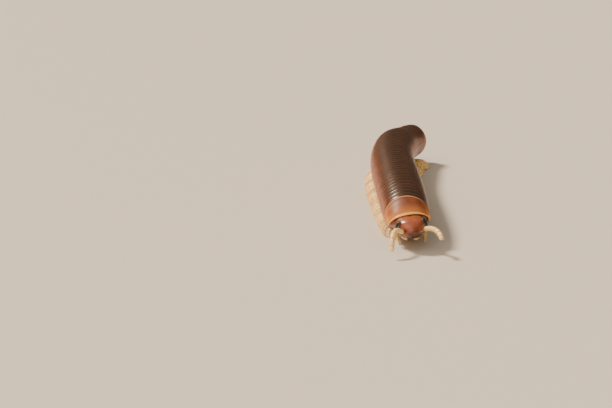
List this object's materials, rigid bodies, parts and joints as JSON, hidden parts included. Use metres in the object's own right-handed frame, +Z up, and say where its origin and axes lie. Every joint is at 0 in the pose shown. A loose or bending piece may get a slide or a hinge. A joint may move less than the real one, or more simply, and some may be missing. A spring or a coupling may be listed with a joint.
{
  "type": "cylindrical millipede, life size, walking pose",
  "caption": "Life-size cylindrical millipede walking on a flat floor: ringed brown body bending at the tail, pale legs, shield collar, antennae.",
  "frame": {"origin": "bottom centre of the bounding box, on the floor the feet stand on", "axes": "-Y the way the head faces, +Y back along the body, +X the animal's left, +Z up"},
  "size_m": [0.0121, 0.0703, 0.0079],
  "materials": {
    "dark_cuticle": "gloss",
    "red_cuticle": "gloss",
    "pale_cuticle": "satin",
    "eye": "gloss"
  },
  "bodies": {
    "root": {"head": "red_cuticle", "eye_left": "eye", "eye_right": "eye", "antenna_left": "pale_cuticle", "antenna_right": "pale_cuticle", "collum": "red_cuticle", "trunk_1": "dark_cuticle", "trunk_2": "dark_cuticle", "trunk_3": "dark_cuticle", "trunk_4": "dark_cuticle", "trunk_5": "dark_cuticle", "trunk_6": "dark_cuticle", "trunk_7": "dark_cuticle", "trunk_8": "dark_cuticle", "tail": "dark_cuticle"}
  },
  "joints": []
}
